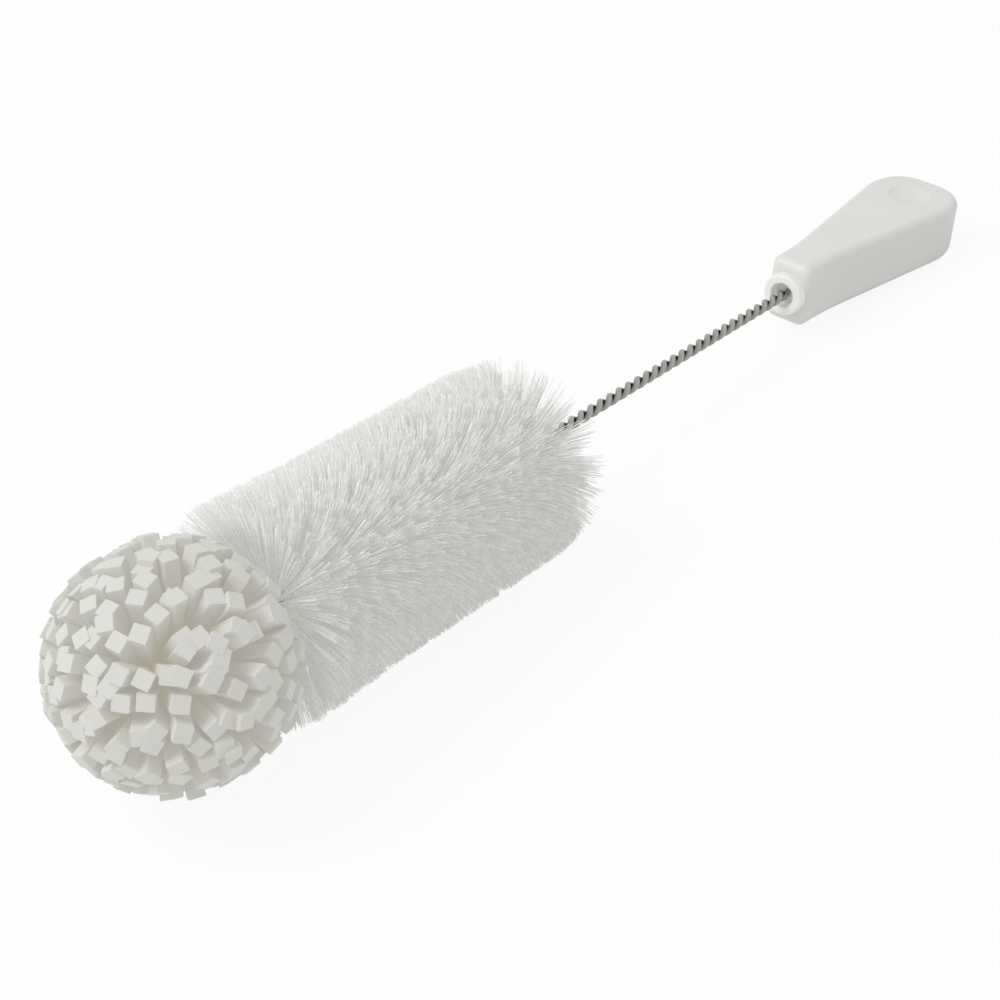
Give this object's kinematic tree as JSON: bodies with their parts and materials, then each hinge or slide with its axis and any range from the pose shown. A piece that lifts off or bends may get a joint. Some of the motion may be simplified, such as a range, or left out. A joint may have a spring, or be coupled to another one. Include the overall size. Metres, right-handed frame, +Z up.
{
  "type": "bottle brush",
  "caption": "Bottle brush with a slit foam ball tip, a cylinder of nylon bristles in a twisted wire stem, and a flat-sided moulded handle with a round collar.",
  "frame": {"origin": "middle of the brush's bounding box, on the surface it lies on", "axes": "+X from the foam ball towards the handle's tail, +Z up from the surface, +Y across the brush"},
  "size_m": [0.4183, 0.0664, 0.0754],
  "materials": {
    "handle": "satin",
    "collar": "satin",
    "wire": "satin",
    "foam": "matte",
    "bristles": "satin"
  },
  "bodies": {
    "root": {"handle": "handle", "collar": "collar", "twisted_wire": "wire", "foam_ball": "foam", "bristle_bunch_01": "bristles", "bristle_bunch_02": "bristles", "bristle_bunch_03": "bristles", "bristle_bunch_04": "bristles", "bristle_bunch_05": "bristles", "bristle_bunch_06": "bristles", "bristle_bunch_07": "bristles", "bristle_bunch_08": "bristles", "bristle_bunch_09": "bristles", "bristle_bunch_10": "bristles", "bristle_bunch_11": "bristles", "bristle_bunch_12": "bristles"}
  },
  "joints": []
}
